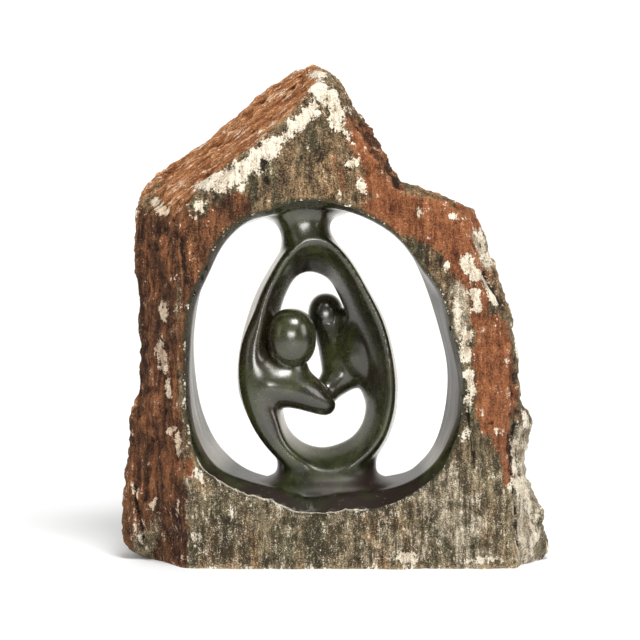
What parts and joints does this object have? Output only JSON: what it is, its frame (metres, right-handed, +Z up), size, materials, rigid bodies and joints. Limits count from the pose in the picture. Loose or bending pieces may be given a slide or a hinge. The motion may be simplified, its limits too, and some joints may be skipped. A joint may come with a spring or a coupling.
{
  "type": "soapstone sculpture",
  "caption": "Rough upright stone block with an egg-shaped opening that holds a polished ring of embracing figures.",
  "frame": {"origin": "on the ground under the middle of the block's bounding box", "axes": "+Z up, the block's tallest direction; -Y towards the front of the picture, Y through the block's thickness; X across its width"},
  "size_m": [0.3116, 0.1098, 0.3626],
  "materials": {
    "soapstone": "rough natural skin outside, waxed and polished inside the opening"
  },
  "bodies": {
    "root": {"sculpture": "soapstone"}
  },
  "joints": []
}
